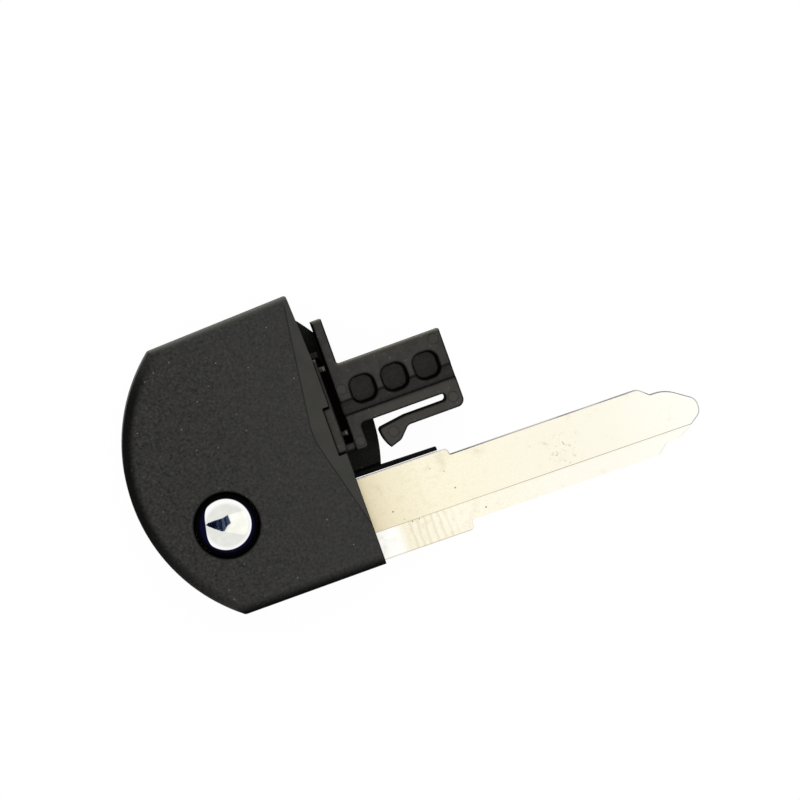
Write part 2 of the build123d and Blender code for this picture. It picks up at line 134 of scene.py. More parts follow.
def newMaterial(name, roughness, metallic, specular=0.5, turn=0.0):
    # gives the material, its shader, the place on the piece in millimetres and its facing
    material = bpy.data.materials.new(name)
    material.use_nodes = True
    shader = material.node_tree.nodes["Principled BSDF"]
    shader.inputs["Roughness"].default_value = roughness
    shader.inputs["Metallic"].default_value = metallic
    shader.inputs["Specular IOR Level"].default_value = specular
    start = Wire(material.node_tree)
    objectPlace = start.node("ShaderNodeTexCoord", {}, {}, "Object")
    facing = start.node("ShaderNodeTexCoord", {}, {}, "Normal")
    turned = (0, 0, math.radians(turn))
    place = start.node("ShaderNodeMapping", {}, {"Vector": objectPlace, "Scale": (1 / mm, 1 / mm, 1 / mm),
                                                 "Rotation": turned})
    return material, shader, place, facing


def parts(vector):
    # x, y and z of a vector
    return [vector.node("ShaderNodeSeparateXYZ", {}, {0: vector}, i) for i in range(3)]


def noise(place, scale, detail=2.0, roughness=0.5):
    return place.node("ShaderNodeTexNoise", {}, {"Vector": place, "Scale": scale, "Detail": detail,
                                                 "Roughness": roughness})


def dots(place, spacing, radius):
    # small round dots, one in each square cell of that spacing, seen in plan
    cells = place.node("ShaderNodeTexVoronoi", {"voronoi_dimensions": "2D"},
                       {"Vector": place, "Scale": 1 / spacing, "Randomness": 1.0})
    return cells.rise(radius / spacing, 0.5 * radius / spacing)


def away(place, x, y):
    # distance in plan from a point
    flat = place.node("ShaderNodeVectorMath", {"operation": "MULTIPLY"}, {0: place, 1: (1, 1, 0)})
    return place.node("ShaderNodeVectorMath", {"operation": "DISTANCE"}, {0: flat, 1: (x, y, 0)}, "Value")


def roundedCorner(first, second, radius):
    # distance from the shape that lies inside two outlines, with the corner between them rounded
    overFirst = (first + radius).most(0.0)
    overSecond = (second + radius).most(0.0)
    return (overFirst * overFirst + overSecond * overSecond).root() - radius


def feed(shader, **sockets):
    # plugs wires into the shader's sockets; an underscore stands for a space
    for name, wire in sockets.items():
        wire.tree.links.new(wire.socket, shader.inputs[name.replace("_", " ")])


def bump(height, strength, distance):
    return height.node("ShaderNodeBump", {}, {"Strength": strength, "Distance": distance, "Height": height})


def roundedFacing(place, radius):
    # x, y and z of the facing that the piece would have with its edges rounded by a radius in millimetres
    rounded = place.node("ShaderNodeBevel", {"samples": 6}, {"Radius": radius * mm})
    turned = {"vector_type": "NORMAL", "convert_from": "WORLD", "convert_to": "OBJECT"}
    return parts(place.node("ShaderNodeVectorTransform", turned, {"Vector": rounded}))


noLight = (0.002, 0.002, 0.002, 1)


def darken(material, shader, mask):
    # lays a dull dark over the shader where the mask is 1, as where no light gets in
    dark = mask.node("ShaderNodeBsdfDiffuse", {}, {"Color": noLight})
    finish = Wire(mask.tree, shader.outputs["BSDF"])
    both = mask.node("ShaderNodeMixShader", {}, {0: mask, 1: finish, 2: dark})
    wire = material.node_tree.nodes["Material Output"].inputs["Surface"]
    material.node_tree.links.new(both.socket, wire)


# lengths in these dictionaries are millimetres on the piece; a pair is where a rise starts and ends, three
# numbers are a band's two ends and its softness, and a share says how strongly a tone is laid over the last;
# the higher a noise's scale, the finer it is
grain = {
    "roughness": 0.6, "specular": 0.14,
    "scale": 3.1, "detail": 3.0, "coarseness": 0.7, "bump": 0.5, "height": 0.045, "broadScale": 0.5,
    "dark": rgba(22, 22, 21), "colour": rgba(43, 43, 41), "colourLevel": (0.34, 0.5),
    "light": rgba(62, 61, 58), "lightLevel": (0.5, 0.72),
    "tint": rgba(48, 43, 43), "tintScale": 1.4, "tintLevel": (0.45, 0.65), "tintShare": 0.3,
    "secondTone": rgba(57, 57, 54), "mouthwardX": (-8.0, 15.0), "mouthwardShare": 0.35,
    "relief": rgba(52, 52, 49), "reliefLight": rgba(57, 56, 53), "reliefLevel": (0.3, 0.7),
    "reliefTilt": (0.1, 0.15), "reliefTiltEnd": (0.4, 0.3), "reliefZ": (11.5, 11.8), "reliefSmooth": 0.85,
    "creaseShade": rgba(22, 22, 22), "creaseZ": (12.95, 12.98), "creaseShare": 0.8,
    "speck": rgba(110, 110, 98), "speckSpacing": 3.8, "speckRadius": 0.1, "speckLevel": (0.48, 0.54),
    "backRimLight": rgba(84, 85, 77), "backBearing": (1.35, 1.75, 0.1), "backUp": (0.92, 0.3),
    "backDown": (-0.2, 0.2),
    "arcShare": 0.6244, "arcMiddleShare": 0.4945, "darkest": 165.0, "darkestReach": (0.2, 1.0),
    "rimShade": 0.86, "rimReach": (1.6, 0.62), "rimUp": (0.1, 0.4), "cornerReach": (1.6, -5.5),
    "frontShade": 0.96, "frontReach": (1.5, 0.0),
    "sillShade": 0.5, "sillX": (15.9, 15.93), "sillY": (-3.0, 6.0), "railShade": 0.85, "railY": (0.6, 0.5),
    "holeReach": (4.15, 3.85),
}


def grainedPlastic():
    # moulded charcoal plastic with a spark-eroded grain, lighter towards the mouth end, smooth in the relief;
    # painted shade on its rounded rim, along the crease, on the sill and rail and round the button hole, and a
    # painted highlight on the back rim
    material, shader, place, facing = newMaterial("grainedPlastic", grain["roughness"], 0.0,
                                                  grain["specular"])
    x, y, z = parts(place)
    tiltX, tiltY, up = parts(facing)
    fine = noise(place, grain["scale"], grain["detail"], grain["coarseness"])
    broad = noise(place, grain["broadScale"])
    colour = fine.rise(*grain["colourLevel"]).blend(grain["dark"], grain["colour"])
    colour = fine.rise(*grain["lightLevel"]).blend(colour, grain["light"])
    tint = noise(place, grain["tintScale"]).rise(*grain["tintLevel"])
    colour = (tint * grain["tintShare"]).blend(colour, grain["tint"])
    # the top face made lighter towards the mouth end
    colour = (x.rise(*grain["mouthwardX"]) * grain["mouthwardShare"]).blend(colour, grain["secondTone"])
    relief = tiltX.rise(*grain["reliefTilt"]) * tiltX.rise(*grain["reliefTiltEnd"]) * z.rise(*grain["reliefZ"])
    reliefTone = broad.rise(*grain["reliefLevel"]).blend(grain["relief"], grain["reliefLight"])
    colour = relief.blend(colour, reliefTone)
    # painted shade along the crease where the relief meets the top face
    creaseShade = relief * z.rise(*grain["creaseZ"])
    colour = (creaseShade * grain["creaseShare"]).blend(colour, grain["creaseShade"])
    speck = dots(place, grain["speckSpacing"], grain["speckRadius"])
    speck = speck * broad.rise(*grain["speckLevel"]) * (1 - relief)
    colour = speck.blend(colour, grain["speck"])
    # painted highlight on the rounded rim that faces the back, towards the light
    back = tiltY.calc("ARCTAN2", tiltY, tiltX).band(*grain["backBearing"])
    back = back * up.rise(*grain["backUp"]) * up.rise(*grain["backDown"])
    colour = back.blend(colour, grain["backRimLight"])
    rough = fine * (1 - relief * grain["reliefSmooth"])
    feed(shader, Base_Color=colour, Normal=bump(rough, grain["bump"], grain["height"] * mm))
    # painted shade on the rounded rim and front edge, on the sill and the rail, and round the button hole
    shade = rimShadow(place, x, y) * up.rise(*grain["rimUp"]) * (1 - relief)
    sill = x.rise(*grain["sillX"]) * grain["sillShade"] * y.rise(*grain["sillY"])
    rail = x.rise(*grain["sillX"]) * y.rise(*grain["railY"]) * grain["railShade"]
    holeShade = away(place, 0, 0).rise(*grain["holeReach"])
    darken(material, shader, shade.most(sill).most(rail).most(holeShade))
    return material


def rimShadow(place, x, y):
    # painted shade: 1 at the housing's round side and front edge, falling to 0 inwards; the side is darkest at
    # one bearing
    low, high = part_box("front_shell")
    width = (high[1] - low[1]) / mm
    frontY = low[1] / mm
    radius = grain["arcShare"] * width
    centreX = low[0] / mm + radius
    centreY = frontY + grain["arcMiddleShare"] * width
    bearing = math.radians(grain["darkest"])
    inward = radius - away(place, centreX, centreY)
    along = (x - centreX) * (math.cos(bearing) / radius) + (y - centreY) * (math.sin(bearing) / radius)
    corner = (y - high[1] / mm).rise(*grain["cornerReach"])
    side = inward.rise(*grain["rimReach"]) * along.rise(*grain["darkestReach"]) * corner * grain["rimShade"]
    front = (y - frontY).rise(*grain["frontReach"]) * grain["frontShade"]
    return side.most(front)


tongueLook = {
    "roughness": 0.5, "specular": 0.16, "bump": 0.1, "bumpHeight": 0.03,
    "dark": rgba(46, 44, 41), "colour": rgba(53, 51, 48), "flowScale": 0.9, "flowDetail": 3.0,
    "flowLevel": (0.35, 0.65),
    "light": rgba(66, 65, 60), "spotScale": 2.6, "spotLevel": (0.64, 0.8),
    "rubScale": 3.4, "rubLevel": (0.42, 0.62), "rubShare": 0.16,
    "channelShade": rgba(36, 34, 33), "channelY": (7.19, 8.83, 0.03), "channelZ": (9.3, 9.0),
    "armY": (7.06, 6.56), "armX": (19.0, 21.0), "armShare": 0.4,
    "core": rgba(72, 70, 66), "coreLight": rgba(84, 82, 76), "coreLevel": (0.35, 0.7), "coreZ": (6.0, 5.6),
    "coreX": (18.5, 18.7), "coreFirst": 20.4, "corePitch": 3.93, "coreMiddle": 9.53, "coreSize": (3.15, 3.3),
    "coreRound": 1.2, "coreEdge": (-0.37, -0.17), "coreShade": 0.93,
    "marks": ((17.96, 10.25), (30.05, 12.2), (29.95, 5.05), (22.05, 3.55), (18.0, 3.85)),
    "markFill": (0.62, 0.52), "markFillShare": 0.35, "markRingShade": rgba(26, 25, 24),
    "markRing": (0.58, 0.66, 0.03), "markLevel": (0.4, 0.6), "markRingShadeShare": 0.5,
    "markReach": (0.97, 0.77), "markUp": (0.8, 0.9), "markClear": 0.75,
    "ribEndHighlight": rgba(150, 148, 130), "ribEndX": (16.72, 16.99, 0.03), "ribEndZ": (8.5, 8.72, 0.03),
    "ribEndShare": 0.7,
    "speck": rgba(104, 104, 94), "speckSpacing": 1.7, "speckRadius": 0.07, "speckLevel": (0.4, 0.6),
    "edgeRadius": 0.45, "edgeUp": (0.99, 0.86), "edgeDown": (-0.6, -0.3), "edgeShade": 0.92,
    "openEdgeLight": rgba(86, 86, 72), "openY": (12.75, 12.85), "openTilt": (0.05, 0.2),
    "wallUp": (0.6, 0.3), "wallDown": (-0.6, -0.3), "wallShade": 0.9,
    "recessX": (15.9, 17.22, 0.02), "recessZ": (8.2, 7.9), "recessShade": 0.9,
}


def coreDistance(x, y):
    # distance in plan from the outline of the nearest core-out, a rounded rectangle; below 0 inside it
    length, height = tongueLook["coreSize"]
    alongRow = x.calc("PINGPONG", x - tongueLook["coreFirst"], tongueLook["corePitch"] / 2)
    acrossRow = y.calc("ABSOLUTE", y - tongueLook["coreMiddle"])
    return roundedCorner(alongRow - length / 2, acrossRow - height / 2, tongueLook["coreRound"])


def markPlastic(place, spots, colour):
    # pale discs where the ejector pins stood, ringed by broken lines of painted shade at their edges; also
    # gives how much of a place they take
    marked = 0
    for markX, markY in tongueLook["marks"]:
        distance = away(place, markX, markY)
        marked = distance.rise(*tongueLook["markReach"]) + marked
        fill = distance.rise(*tongueLook["markFill"]) * tongueLook["markFillShare"]
        colour = fill.blend(colour, tongueLook["light"])
        ring = distance.band(*tongueLook["markRing"]) * spots.rise(*tongueLook["markLevel"])
        colour = (ring * tongueLook["markRingShadeShare"]).blend(colour, tongueLook["markRingShade"])
    return colour, marked


def smoothPlastic():
    # smooth moulded plastic: flow marks, rubbed spots, ejector marks ringed with painted shade, core-out floors
    # painted lighter as painted light, painted highlights on the rib ends and the outer top edge, and painted
    # shade on its walls, inner edges, core-outs, channel and mouth recess
    material, shader, place, facing = newMaterial("smoothPlastic", tongueLook["roughness"], 0.0,
                                                  tongueLook["specular"])
    x, y, z = parts(place)
    up = parts(facing)[2]
    flow = noise(place, tongueLook["flowScale"], tongueLook["flowDetail"])
    spots = noise(place, tongueLook["spotScale"])
    colour = flow.rise(*tongueLook["flowLevel"]).blend(tongueLook["dark"], tongueLook["colour"])
    # painted shade in the channel
    channel = y.band(*tongueLook["channelY"]) * z.rise(*tongueLook["channelZ"])
    colour = channel.blend(colour, tongueLook["channelShade"])
    colour = spots.rise(*tongueLook["spotLevel"]).blend(colour, tongueLook["light"])
    # the core-out floors painted lighter, as painted light reaching down into the deep pockets
    core = z.rise(*tongueLook["coreZ"]) * x.rise(*tongueLook["coreX"])
    coreLitTone = spots.rise(*tongueLook["coreLevel"]).blend(tongueLook["core"], tongueLook["coreLight"])
    colour = core.blend(colour, coreLitTone)
    arm = y.rise(*tongueLook["armY"]) * x.rise(*tongueLook["armX"])
    colour = (arm * tongueLook["armShare"]).blend(colour, tongueLook["light"])
    colour, marked = markPlastic(place, spots, colour)
    # painted highlight at the ends of the ribs
    ribEndHighlight = x.band(*tongueLook["ribEndX"]) * z.band(*tongueLook["ribEndZ"]) * tongueLook["ribEndShare"]
    colour = ribEndHighlight.blend(colour, tongueLook["ribEndHighlight"])
    speck = dots(place, tongueLook["speckSpacing"], tongueLook["speckRadius"])
    colour = (speck * flow.rise(*tongueLook["speckLevel"])).blend(colour, tongueLook["speck"])
    roundY, roundUp = roundedFacing(place, tongueLook["edgeRadius"])[1:]
    edge = roundUp.rise(*tongueLook["edgeUp"]) * roundUp.rise(*tongueLook["edgeDown"])
    # painted highlight on the rounded outer top edge, which faces the light
    openSide = y.rise(*tongueLook["openY"]) * roundY.rise(*tongueLook["openTilt"])
    colour = (edge * openSide).blend(colour, tongueLook["openEdgeLight"])
    rubs = noise(place, tongueLook["rubScale"]).rise(*tongueLook["rubLevel"])
    colour = (rubs * tongueLook["rubShare"]).blend(colour, tongueLook["light"])
    feed(shader, Base_Color=colour, Normal=bump(spots, tongueLook["bump"], tongueLook["bumpHeight"] * mm))
    # painted shade on the walls, the inner edges, round the core-outs and in the recess at the mouth
    wall = up.rise(*tongueLook["wallUp"]) * up.rise(*tongueLook["wallDown"])
    wall = wall * (1 - openSide) * tongueLook["wallShade"]
    clear = marked * up.rise(*tongueLook["markUp"]) * tongueLook["markClear"]
    edge = edge * (1 - openSide) * tongueLook["edgeShade"] * (1 - clear)
    coreEdge = coreDistance(x, y).rise(*tongueLook["coreEdge"]) * core * tongueLook["coreShade"]
    recess = x.band(*tongueLook["recessX"]) * z.rise(*tongueLook["recessZ"]) * tongueLook["recessShade"]
    darken(material, shader, wall.most(edge).most(coreEdge).most(recess))
    return material


# the stops are the blade's tones from root to tip; a noise is its scale, detail and, where given, roughness
bladeLook = {
    "lean": 0.8, "roughness": 0.28, "stainRoughness": 0.1,
    "bumpNoise": (3.0, 2.0), "bumpShare": 0.5, "bump": 0.08, "bumpHeight": 0.02,
    "stops": ((16, (230, 218, 188)), (19, (237, 228, 202)), (24, (247, 241, 219)), (33, (250, 245, 226)),
              (45, (252, 248, 232)), (52, (254, 253, 240)), (57, (254, 254, 246))),
    "topZ": (7.48, 7.52), "rootEndX": (27.2, 27.0),
    "stripTone": rgba(255, 253, 243), "stripY": (-6.72, -6.76), "stripX": (33.0, 38.0),
    "stripShare": 0.35, "stripTipShare": 0.25,
    "rampTone": (1, 1, 0.98, 1), "rampX": (19.8, 18.2),
    "stain": rgba(222, 206, 172), "stainNoise": (0.45, 3.0, 0.6), "stainLevel": (0.56, 0.8), "stainShare": 0.3,
    "rootNoise": (1.9, 2.0), "rootLevel": (0.5, 0.72), "rootX": (34.0, 17.0), "rootShare": 0.28,
    "rippleShade": rgba(205, 196, 168), "ripplePitch": 0.85, "rippleX": (19.3, 20.1), "rippleEndX": (26.5, 23.5),
    "rippleLevel": (-0.2, 1.0), "rippleShare": 0.3, "wobbleNoise": (0.6, 1.0), "wobble": 0.5,
    "rustNoise": (1.3, 3.0), "rustLevel": (0.55, 0.75), "rustX": (18.5, 20.5), "rustEndX": (36.0, 27.0),
    "rust": rgba(228, 198, 150), "rustShare": 0.3,
    "markAndShadeLine": rgba(170, 160, 132), "tipStepShade": rgba(128, 112, 82), "tipLineX": (28.0, 36.0),
    "stepShadeY": (-6.75, -6.69, 0.03), "stepShadeShare": 0.8,
    "patchPlace": (40.0, -4.5), "patchReach": (3.4, 0.8), "patchNoise": (2.3, 3.0, 0.7),
    "patchLevel": (0.57, 0.68), "patchTone": rgba(150, 114, 62), "patchShare": 0.5,
    "speck": rgba(70, 62, 50), "speckShare": 0.75,
    "specks": ((18.9, -5.05, 0.13), (26.7, -4.75, 0.13), (20.7, -6.86, 0.12), (21.55, -6.86, 0.1),
               (24.6, -1.7, 0.08), (26.1, -2.5, 0.08), (19.9, -6.3, 0.07), (29.4, -8.1, 0.14)),
    "arcCentre": (36.5, -8.5), "arcPitch": 0.75, "arcLevel": (0.2, 1.0), "arcX": (34.0, 38.0),
    "arcEndX": (47.0, 42.0), "arcStains": (0.0, 0.4), "arcShare": 0.12,
    "gritTone": rgba(190, 170, 120), "gritNoise": (5.0, 2.0, 0.7), "gritLevel": (0.35, 0.7),
    "gritX": (56.0, 22.0), "gritShare": 0.13,
    "lowEdgeY": (-10.1, -10.0, 0.03), "lowEdgeShare": 0.5,
    "edge": rgba(128, 120, 132), "edgeRadius": 0.12, "edgeUp": (0.99, 0.85), "edgeDown": (-0.85, -0.6),
    "edgeTiltY": (0.02, 0.1), "edgeTiltX": (0.1, 0.2), "edgeX": (27.0, 27.4), "edgeRootShare": 0.25,
    "edgeNoise": (0.3, 1.0), "edgeLevel": (0.4, 0.6), "edgeLeast": 0.65,
    "backWallLight": rgba(250, 245, 235), "backWallTilt": (0.5, 0.65),
}


def wave(distance, pitch, level):
    # evenly spaced crests, coming in between two levels of a sine
    return (distance * (2 * math.pi / pitch)).sine().rise(*level)


def bladeEdge(place, x):
    # painted shade: 1 on the rounded back and tip edges of the blade, fainter on the root and broken by noise
    roundX, roundY, roundUp = roundedFacing(place, bladeLook["edgeRadius"])
    edge = roundUp.rise(*bladeLook["edgeUp"]) * roundUp.rise(*bladeLook["edgeDown"])
    edge = edge * (roundY.rise(*bladeLook["edgeTiltY"]) + roundX.rise(*bladeLook["edgeTiltX"]))
    rootShare, least = bladeLook["edgeRootShare"], bladeLook["edgeLeast"]
    edge = edge.least(1.0) * (x.rise(*bladeLook["edgeX"]) * (1 - rootShare) + rootShare)
    broken = noise(place, *bladeLook["edgeNoise"]).rise(*bladeLook["edgeLevel"])
    return edge * (broken * (1 - least) + least)


def bladeNickel():
    # satin nickel plate: warm at the root, near white at the tip, with cutter chatter on the milled strip;
    # painted shade in the chatter, along the milled step and on the back and tip edges, and a white painted
    # reflection on the back wall at the root
    look = bladeLook
    material, shader, place, facing = newMaterial("bladeNickel", look["roughness"], 1.0, turn=look["lean"])
    x, y, z = parts(place)
    low, high = look["stops"][0][0], look["stops"][-1][0]
    stops = [((at - low) / (high - low), rgba(*shade)) for at, shade in look["stops"]]
    colour = x.node("ShaderNodeValToRGB", {"stops": stops}, {"Fac": (x - low) / (high - low)})
    top = z.rise(*look["topZ"])
    strip = y.rise(*look["stripY"]) * (1 - top)
    stripShare = x.rise(*look["stripX"]) * look["stripTipShare"] + look["stripShare"]
    colour = (strip * stripShare).blend(colour, look["stripTone"])
    colour = (strip * x.rise(*look["rampX"])).blend(colour, look["rampTone"])
    root = noise(place, *look["rootNoise"]).rise(*look["rootLevel"]) * x.rise(*look["rootX"]) * top
    colour = (root * look["rootShare"]).blend(colour, look["stain"])
    stains = noise(place, *look["stainNoise"]).rise(*look["stainLevel"])
    colour = (stains * look["stainShare"]).blend(colour, look["stain"])
    wobble = noise(place, *look["wobbleNoise"]) * look["wobble"]
    # cutter chatter marks: bumps, with painted shade in their troughs
    ripple = wave(x + wobble, look["ripplePitch"], look["rippleLevel"])
    ripple = ripple * strip * x.rise(*look["rippleX"]) * x.rise(*look["rippleEndX"])
    colour = (ripple * look["rippleShare"]).blend(colour, look["rippleShade"])
    rust = noise(place, *look["rustNoise"]).rise(*look["rustLevel"])
    rust = rust * strip * x.rise(*look["rustX"]) * x.rise(*look["rustEndX"])
    colour = (rust * look["rustShare"]).blend(colour, look["rust"])
    # painted shade along the milled step
    stepShade = y.band(*look["stepShadeY"]) * top
    stepShadeTone = x.rise(*look["tipLineX"]).blend(look["markAndShadeLine"], look["tipStepShade"])
    colour = (stepShade * look["stepShadeShare"]).blend(colour, stepShadeTone)
    patch = away(place, *look["patchPlace"]).rise(*look["patchReach"]) * top
    patch = patch * noise(place, *look["patchNoise"]).rise(*look["patchLevel"])
    colour = (patch * look["patchShare"]).blend(colour, look["patchTone"])
    for speckX, speckY, radius in look["specks"]:
        spot = away(place, speckX, speckY).rise(radius, radius / 2)
        colour = (spot * look["speckShare"]).blend(colour, look["speck"])
    arcs = wave(away(place, *look["arcCentre"]), look["arcPitch"], look["arcLevel"])
    arcs = arcs * x.rise(*look["arcX"]) * x.rise(*look["arcEndX"]) * top * stains.rise(*look["arcStains"])
    colour = (arcs * look["arcShare"]).blend(colour, look["markAndShadeLine"])
    grit = noise(place, *look["gritNoise"]).rise(*look["gritLevel"]) * x.rise(*look["gritX"])
    colour = (grit * look["gritShare"]).blend(colour, look["gritTone"])
    # a darker line along the blade's low edge beyond the root
    lowEdge = y.band(*look["lowEdgeY"]) * x.rise(*look["rootEndX"])
    colour = (lowEdge * look["lowEdgeShare"]).blend(colour, look["markAndShadeLine"])
    colour = bladeEdge(place, x).blend(colour, look["edge"])
    # painted reflection: the back wall at the root painted a white non-metal, as if it mirrored the bright sky
    backWallLight = parts(facing)[1].rise(*look["backWallTilt"]) * x.rise(*look["rootEndX"])
    colour = backWallLight.blend(colour, look["backWallLight"])
    height = noise(place, *look["bumpNoise"]) * look["bumpShare"] + ripple
    feed(shader, Base_Color=colour, Roughness=look["roughness"] + stains * look["stainRoughness"],
         Metallic=1 - backWallLight, Normal=bump(height, look["bump"], look["bumpHeight"] * mm))
    return material


metals = {
    "cast": (rgba(176, 176, 178), 0.45, 1.2), "spring": (rgba(150, 150, 154), 0.35, 1.6),
    "darker": 0.7, "detail": 3.0, "level": (0.3, 0.7), "pitScale": 6.0, "bump": 0.15, "bumpHeight": 0.03,
}


def plainMetal(name, colour, roughness, scale):
    # cast or drawn metal, its tone clouded by noise
    material, shader, place = newMaterial(name, roughness, 1.0)[:3]
    cloud = noise(place, scale, metals["detail"]).rise(*metals["level"])
    darker = (*(metals["darker"] * c for c in colour[:3]), 1)
    pits = noise(place, metals["pitScale"] * scale)
    feed(shader, Base_Color=cloud.blend(darker, colour),
         Normal=bump(pits, metals["bump"], metals["bumpHeight"] * mm))
    return material


buttonLook = {
    "roughness": 0.03, "dullLevel": (0.4, 0.8), "dullness": 0.03,
    "colour": rgba(235, 235, 231), "secondTone": rgba(226, 226, 220), "wornLevel": (0.3, 0.7),
    "hazeNoise": (0.8, 3.0), "border": rgba(252, 252, 251), "borderReach": (2.3, 2.8),
    "crownRadius": 16.5, "rimStart": 2.56, "rimRadius": 1.1, "steepest": 0.995, "middle": 0.001,
    "topUp": (0.0, 0.02),
    "brightCentre": (-0.088, 0.17), "brightRadius": 2.965, "cutAlong": (0.985, -0.2164), "cutPlace": -2.5,
    "cutRound": 0.55, "rimDarkReflection": (0.004, 0.003, 0.02, 1), "rimDarkReflectionSoft": (-0.04, 0.04),
    "flankShadeReach": (3.05, 3.25),
}


def buttonChrome():
    # bright plate with the finest haze of wear, a blue-black painted reflection on the rim and past a flat cut
    # at one side, and painted shade on its flank; its facing follows the crown and the rim
    material, shader, place, facing = newMaterial("buttonChrome", buttonLook["roughness"], 1.0)
    haze = noise(place, *buttonLook["hazeNoise"])
    colour = haze.rise(*buttonLook["wornLevel"]).blend(buttonLook["secondTone"], buttonLook["colour"])
    x, y = parts(place)[:2]
    radius = away(place, 0, 0)
    colour = radius.rise(*buttonLook["borderReach"]).blend(colour, buttonLook["border"])
    crown = radius / buttonLook["crownRadius"]
    rim = (radius - buttonLook["rimStart"]) / buttonLook["rimRadius"]
    slope = crown.most(rim).least(buttonLook["steepest"])
    # what is added to the radius keeps the very middle from a division by 0
    out = slope / (radius + buttonLook["middle"])
    upright = (1 - slope * slope).root()
    crowned = x.node("ShaderNodeCombineXYZ", {}, {0: x * out, 1: y * out, 2: upright})
    # painted reflection: near black outside the bright circle and past the flat cut
    outside = away(place, *buttonLook["brightCentre"]) - buttonLook["brightRadius"]
    cutX, cutY = buttonLook["cutAlong"]
    cut = buttonLook["cutPlace"] - (x * cutX + y * cutY)
    darkReflection = roundedCorner(outside, cut, buttonLook["cutRound"]).rise(*buttonLook["rimDarkReflectionSoft"])
    colour = darkReflection.blend(colour, buttonLook["rimDarkReflection"])
    top = parts(facing)[2].rise(*buttonLook["topUp"])
    normal = top.node("ShaderNodeMix", {"data_type": "VECTOR"}, {0: top, 4: facing, 5: crowned}, 1)
    dull = haze.rise(*buttonLook["dullLevel"]) * buttonLook["dullness"]
    feed(shader, Base_Color=colour, Roughness=dull + buttonLook["roughness"], Normal=normal)
    # painted shade on the button's flank, outside the crown
    darken(material, shader, radius.rise(*buttonLook["flankShadeReach"]))
    return material


chipLook = {"roughness": 0.6, "dark": rgba(24, 24, 26), "light": rgba(36, 36, 38), "scale": 2.0,
            "level": (0.3, 0.7)}


def chipBody():
    # dull dark plastic, a little cloudy
    material, shader, place = newMaterial("chipBody", chipLook["roughness"], 0.0)[:3]
    cloud = noise(place, chipLook["scale"]).rise(*chipLook["level"])
    feed(shader, Base_Color=cloud.blend(chipLook["dark"], chipLook["light"]))
    return material


# millimetres, degrees and, for a large face, square millimetres
dressing = {"mergeDistance": 0.0005, "flatAngle": 0.4, "sharpAngle": 28.0, "largeFace": 18.0}


def dressNode(node, body, material):
    # a copy of a CAD node with its triangles merged; large flat faces stay flat, small ones shade as round
    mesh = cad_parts[node].data.copy()
    piece = bpy.data.objects.new(node + "_finish", mesh)
    scene.collection.objects.link(piece)
    work = bmesh.new()
    work.from_mesh(mesh)
    bmesh.ops.remove_doubles(work, verts=work.verts, dist=dressing["mergeDistance"] * mm)
    bmesh.ops.dissolve_limit(work, angle_limit=math.radians(dressing["flatAngle"]), verts=work.verts,
                             edges=work.edges)
    for face in work.faces:
        face.smooth = True
    for edge in work.edges:
        bend = math.degrees(edge.calc_face_angle(math.pi))
        largest = max((face.calc_area() for face in edge.link_faces), default=0)
        large = largest > dressing["largeFace"] * mm * mm
        edge.smooth = bend < (dressing["flatAngle"] if large else dressing["sharpAngle"])
    work.to_mesh(mesh)
    work.free()
    mesh.materials.clear()
    mesh.materials.append(material)
    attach(piece, body)
    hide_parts(node)
    return piece


grained = grainedPlastic()
smoothBlack = smoothPlastic()
nickel = bladeNickel()
cast = plainMetal("castMetal", *metals["cast"])
springWire = plainMetal("springSteel", *metals["spring"])
dressNode("front_shell", "head", grained)
dressNode("rear_shell", "head", grained)
dressNode("tongue_frame", "head", smoothBlack)
dressNode("transponder_chip", "head", chipBody())
dressNode("key_blade", "blade", nickel)
dressNode("blade_hub", "blade", cast)
dressNode("blade_roll_pin", "blade", springWire)
dressNode("release_button", "button", buttonChrome())
coil = dressNode("flip_spring", "head", springWire)
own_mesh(coil)
print("nodes dressed")


camera = {
    "aim": (23.858, 6.884, 13.0), "distance": 1000.0, "headTurn": 19.8, "bladeTurn": 19.0, "lean": 0.044,
    "pixelsPerMm": 8.6, "frame": 800, "clip": (0.05, 20.0),
}
headTurn = math.radians(camera["headTurn"])
imageUp = Vector((math.sin(headTurn), math.cos(headTurn), 0))
imageRight = Vector((math.cos(headTurn), -math.sin(headTurn), 0))


def cameraBack():
    # the direction from the head to the camera: upright, leaning a little to the upper left of the blade
    blade = math.radians(camera["headTurn"] - camera["bladeTurn"])
    bladeAlong = Vector((math.cos(blade), -math.sin(blade), 0))
    bladeAcross = Vector((math.sin(blade), math.cos(blade), 0))
    return (Vector((0, 0, 1)) + (bladeAcross - bladeAlong).normalized() * camera["lean"]).normalized()


def makeCamera():
    back = cameraBack()
    right = imageUp.cross(back).normalized()
    over = back.cross(right)
    place = (Vector(camera["aim"]) + back * camera["distance"]) * mm
    made = bpy.data.cameras.new("camera")
    made.angle = 2 * math.atan(camera["frame"] / camera["pixelsPerMm"] / 2 / camera["distance"])
    made.clip_start, made.clip_end = camera["clip"]
    holder = bpy.data.objects.new("camera", made)
    holder.matrix_world = Matrix((
        (right.x, over.x, back.x, place.x),
        (right.y, over.y, back.y, place.y),
        (right.z, over.z, back.z, place.z),
        (0, 0, 0, 1)))
    scene.collection.objects.link(holder)
    scene.camera = holder


studio = {
    "floorSize": 6.0, "floorColour": (0.6, 0.6, 0.6, 1), "floorWhite": 1.04, "floorGlow": 0.93,
    "floorDrop": 0.01,
    "zenith": 1.5, "horizon": 0.2, "cap": (0.6, 0.8),
    "backLight": 1.2, "backSize": (0.6, 0.3), "backAim": (0.02, 0.0, 0.0), "backReach": 0.5,
}


def seenBy(start, *names):
    # 1 for rays of the named kinds
    rays = [start.node("ShaderNodeLightPath", {}, {}, name) for name in names]
    return sum(rays[1:], rays[0])


